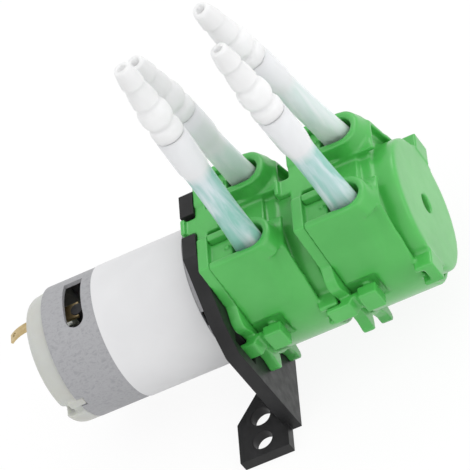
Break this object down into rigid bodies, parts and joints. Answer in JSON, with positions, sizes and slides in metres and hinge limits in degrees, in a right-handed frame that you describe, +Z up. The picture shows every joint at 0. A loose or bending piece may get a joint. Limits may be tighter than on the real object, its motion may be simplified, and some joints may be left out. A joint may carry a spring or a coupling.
{
  "type": "peristaltic dosing pump",
  "caption": "Motor-driven peristaltic dosing pump with stacked snap-together heads, squeezed silicone tubes, barbed hose connectors and a footed bracket.",
  "frame": {"origin": "on the underside of the two feet, at the middle of the line through the four foot holes", "axes": "+X along the motor shaft towards the pump heads, +Y to the far side, +Z up, the way the hoses leave"},
  "size_m": [0.0883, 0.0554, 0.0869],
  "materials": {
    "green_plastic": "satin moulded",
    "black_plastic": "satin moulded",
    "zinc_can": "zinc plated, finely mottled",
    "end_bell_nylon": "satin nylon",
    "label_film": "satin film, bare",
    "steel": "turned",
    "brass": "stamped",
    "bronze": "sintered",
    "carbon": "dull",
    "ferrite": "ground",
    "iron": "laminated",
    "copper": "enamelled wire",
    "roller_nylon": "smooth",
    "silicone": "translucent",
    "frosted_plastic": "frosted, translucent"
  },
  "bodies": {
    "pump_body": {"mounting_bracket": "black_plastic", "motor_can": "zinc_can", "motor_end_bell": "end_bell_nylon", "motor_label": "label_film", "motor_screws": "steel", "terminal_upper": "brass", "terminal_lower": "brass", "carbon_brushes": "carbon", "motor_magnets": "ferrite", "front_bearing": "bronze", "rear_bearing": "bronze", "base_plate_1": "green_plastic", "housing_1": "green_plastic", "shaft_bush_1": "bronze", "pump_tube_1": "silicone", "connector_near_1": "frosted_plastic", "connector_far_1": "frosted_plastic", "base_plate_2": "green_plastic", "housing_2": "green_plastic", "shaft_bush_2": "bronze", "pump_tube_2": "silicone", "connector_near_2": "frosted_plastic", "connector_far_2": "frosted_plastic"},
    "rotor": {"armature_core": "iron", "armature_windings": "copper", "commutator": "copper", "motor_shaft": "steel", "drive_sleeve_1": "steel", "drive_sleeve_2": "steel"},
    "carrier_1": {"carrier_rear_1": "steel", "carrier_front_1": "steel", "roller_pins_1": "steel"},
    "roller_1a": {"roller_1a": "roller_nylon"},
    "roller_1b": {"roller_1b": "roller_nylon"},
    "roller_1c": {"roller_1c": "roller_nylon"},
    "carrier_2": {"carrier_rear_2": "steel", "carrier_front_2": "steel", "roller_pins_2": "steel"},
    "roller_2a": {"roller_2a": "roller_nylon"},
    "roller_2b": {"roller_2b": "roller_nylon"},
    "roller_2c": {"roller_2c": "roller_nylon"}
  },
  "joints": [
    {"name": "motor_spin", "type": "hinge", "parent": "pump_body", "child": "rotor", "pos_m": [0, 0, 0.0211], "axis": [1, 0, 0], "continuous": true},
    {"name": "carrier_1_orbit", "type": "hinge", "parent": "pump_body", "child": "carrier_1", "pos_m": [0, 0, 0.0211], "axis": [1, 0, 0], "continuous": true},
    {"name": "carrier_2_orbit", "type": "hinge", "parent": "pump_body", "child": "carrier_2", "pos_m": [0, 0, 0.0211], "axis": [1, 0, 0], "continuous": true},
    {"name": "roller_1a_spin", "type": "hinge", "parent": "carrier_1", "child": "roller_1a", "pos_m": [0, 0, 0.02815], "axis": [1, 0, 0], "continuous": true},
    {"name": "roller_1b_spin", "type": "hinge", "parent": "carrier_1", "child": "roller_1b", "pos_m": [0, -0.00611, 0.01758], "axis": [1, 0, 0], "continuous": true},
    {"name": "roller_1c_spin", "type": "hinge", "parent": "carrier_1", "child": "roller_1c", "pos_m": [0, 0.00611, 0.01758], "axis": [1, 0, 0], "continuous": true},
    {"name": "roller_2a_spin", "type": "hinge", "parent": "carrier_2", "child": "roller_2a", "pos_m": [0, 0, 0.02815], "axis": [1, 0, 0], "continuous": true},
    {"name": "roller_2b_spin", "type": "hinge", "parent": "carrier_2", "child": "roller_2b", "pos_m": [0, -0.00611, 0.01758], "axis": [1, 0, 0], "continuous": true},
    {"name": "roller_2c_spin", "type": "hinge", "parent": "carrier_2", "child": "roller_2c", "pos_m": [0, 0.00611, 0.01758], "axis": [1, 0, 0], "continuous": true}
  ],
  "couplings": [
    {"joint": "carrier_1_orbit", "follows": "motor_spin", "ratio": 0.16312},
    {"joint": "carrier_2_orbit", "follows": "motor_spin", "ratio": 0.16312},
    {"joint": "roller_1a_spin", "follows": "motor_spin", "ratio": -0.40523},
    {"joint": "roller_1b_spin", "follows": "motor_spin", "ratio": -0.40523},
    {"joint": "roller_1c_spin", "follows": "motor_spin", "ratio": -0.40523},
    {"joint": "roller_2a_spin", "follows": "motor_spin", "ratio": -0.40523},
    {"joint": "roller_2b_spin", "follows": "motor_spin", "ratio": -0.40523},
    {"joint": "roller_2c_spin", "follows": "motor_spin", "ratio": -0.40523}
  ]
}
